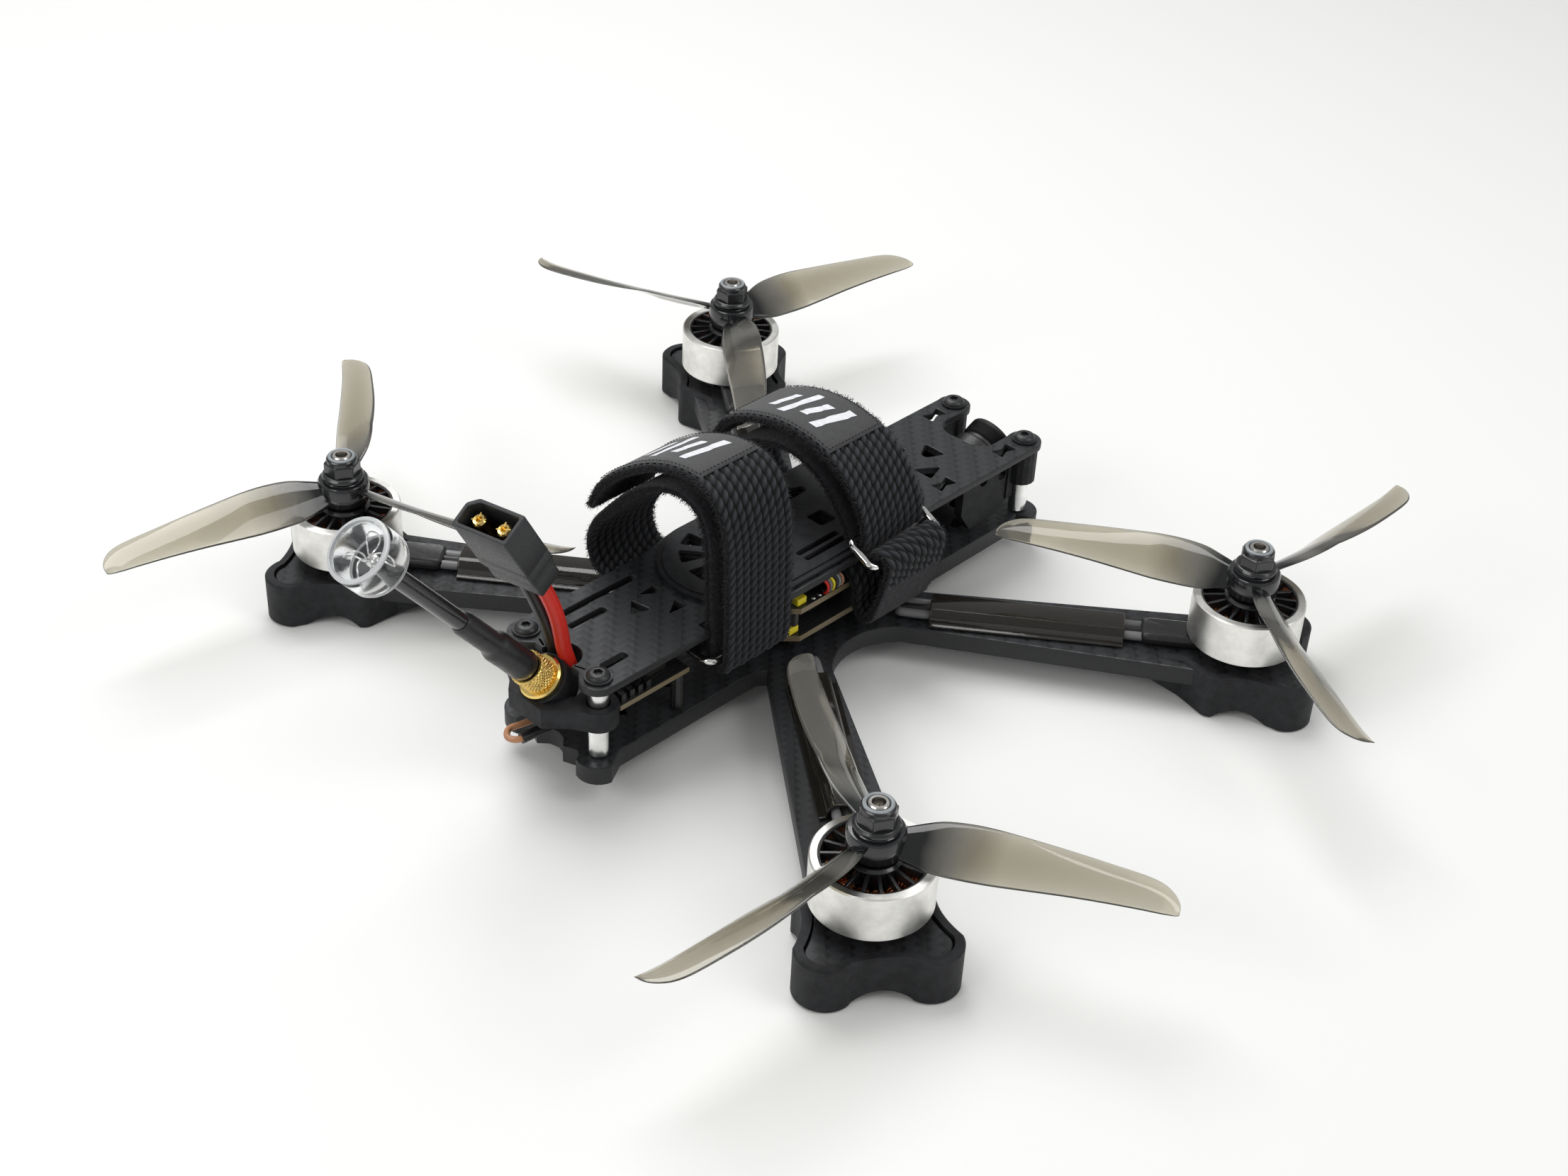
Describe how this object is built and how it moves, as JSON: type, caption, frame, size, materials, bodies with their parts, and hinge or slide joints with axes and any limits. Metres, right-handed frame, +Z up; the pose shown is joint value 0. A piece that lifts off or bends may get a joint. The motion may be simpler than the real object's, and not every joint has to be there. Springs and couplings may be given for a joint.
{
  "type": "quadcopter drone",
  "caption": "Five-inch freestyle quadcopter with a flat carbon frame, three-blade propellers, printed feet, battery straps and a rear antenna",
  "frame": {"origin": "middle of the bounding box on the plane that the four feet stand on; the motors are at x = +-91 mm, y = +-69.3 mm", "axes": "+Y forward to the nose and camera, +X to the right-hand side, +Z up"},
  "size_m": [0.3023, 0.2697, 0.0921],
  "materials": {
    "carbon": "woven carbon-fibre laminate, satin",
    "printed_rubber": "printed flexible black plastic with fine layer lines",
    "post_metal": "white anodised",
    "black_metal": "black oxide, satin",
    "bell_silver": "satin turned aluminium",
    "copper": "enamelled copper windings",
    "blade_smoke": "smoky translucent polycarbonate",
    "smoke_cover": "smoky translucent moulding",
    "lead_silicone": "silicone leads and heat shrink",
    "board": "circuit board with soldered parts",
    "gold": "gold plated",
    "shrink": "black heat shrink",
    "clear_cap": "clear moulded cap",
    "coax": "thin brown coaxial lead",
    "camera_case": "black moulded case",
    "webbing": "woven nylon webbing",
    "ring_chrome": "polished round wire",
    "plug_shell": "black nylon",
    "red_silicone": "red silicone insulation",
    "black_silicone": "black silicone insulation"
  },
  "bodies": {
    "airframe": {"main_plate": "carbon", "top_plate": "carbon", "battery_pad": "printed_rubber", "standoff_rear_left": "post_metal", "plate_screw_rear_left": "black_metal", "wire_cover_rear_left": "smoke_cover", "motor_leads_rear_left": "lead_silicone", "foot_rear_left": "printed_rubber", "stator_rear_left": "copper", "standoff_front_left": "post_metal", "plate_screw_front_left": "black_metal", "wire_cover_front_left": "smoke_cover", "motor_leads_front_left": "lead_silicone", "foot_front_left": "printed_rubber", "stator_front_left": "copper", "standoff_front_right": "post_metal", "plate_screw_front_right": "black_metal", "wire_cover_front_right": "smoke_cover", "motor_leads_front_right": "lead_silicone", "foot_front_right": "printed_rubber", "stator_front_right": "copper", "standoff_rear_right": "post_metal", "plate_screw_rear_right": "black_metal", "wire_cover_rear_right": "smoke_cover", "motor_leads_rear_right": "lead_silicone", "foot_rear_right": "printed_rubber", "stator_rear_right": "copper", "esc_board": "board", "flight_controller": "board", "video_transmitter": "board", "antenna_mount": "printed_rubber", "antenna_plug": "gold", "antenna_stem": "shrink", "antenna_cap": "clear_cap", "receiver_antenna": "coax", "camera_bracket_left": "printed_rubber", "camera_bracket_right": "printed_rubber", "strap_rear": "webbing", "strap_front": "webbing", "strap_ring_rear": "ring_chrome", "strap_ring_front": "ring_chrome", "battery_plug": "plug_shell", "battery_wire_red": "red_silicone", "battery_wire_black": "black_silicone"},
    "rotor_rear_left": {"bell_rear_left": "bell_silver", "propeller_rear_left": "blade_smoke", "prop_nut_rear_left": "black_metal"},
    "rotor_front_left": {"bell_front_left": "bell_silver", "propeller_front_left": "blade_smoke", "prop_nut_front_left": "black_metal"},
    "rotor_front_right": {"bell_front_right": "bell_silver", "propeller_front_right": "blade_smoke", "prop_nut_front_right": "black_metal"},
    "rotor_rear_right": {"bell_rear_right": "bell_silver", "propeller_rear_right": "blade_smoke", "prop_nut_rear_right": "black_metal"},
    "camera": {"camera_body": "camera_case", "camera_lens": "camera_case"},
    "boot_key": {"boot_button": "post_metal"}
  },
  "joints": [
    {"name": "spin_rear_left", "type": "hinge", "parent": "airframe", "child": "rotor_rear_left", "pos_m": [-0.091, -0.0693, 0.0213], "axis": [0, 0, 1], "continuous": true},
    {"name": "spin_front_left", "type": "hinge", "parent": "airframe", "child": "rotor_front_left", "pos_m": [-0.091, 0.0693, 0.0213], "axis": [0, 0, 1], "continuous": true},
    {"name": "spin_front_right", "type": "hinge", "parent": "airframe", "child": "rotor_front_right", "pos_m": [0.091, 0.0693, 0.0213], "axis": [0, 0, 1], "continuous": true},
    {"name": "spin_rear_right", "type": "hinge", "parent": "airframe", "child": "rotor_rear_right", "pos_m": [0.091, -0.0693, 0.0213], "axis": [0, 0, 1], "continuous": true},
    {"name": "camera_tilt", "type": "hinge", "parent": "airframe", "child": "camera", "pos_m": [0, 0.066, 0.0219], "axis": [1, 0, 0], "range_deg": [-25, 15]},
    {"name": "boot_press", "type": "slide", "parent": "airframe", "child": "boot_key", "axis": [0, 0, -1], "range_m": [0, 0.0002], "stiffness_N_per_m": 150}
  ]
}
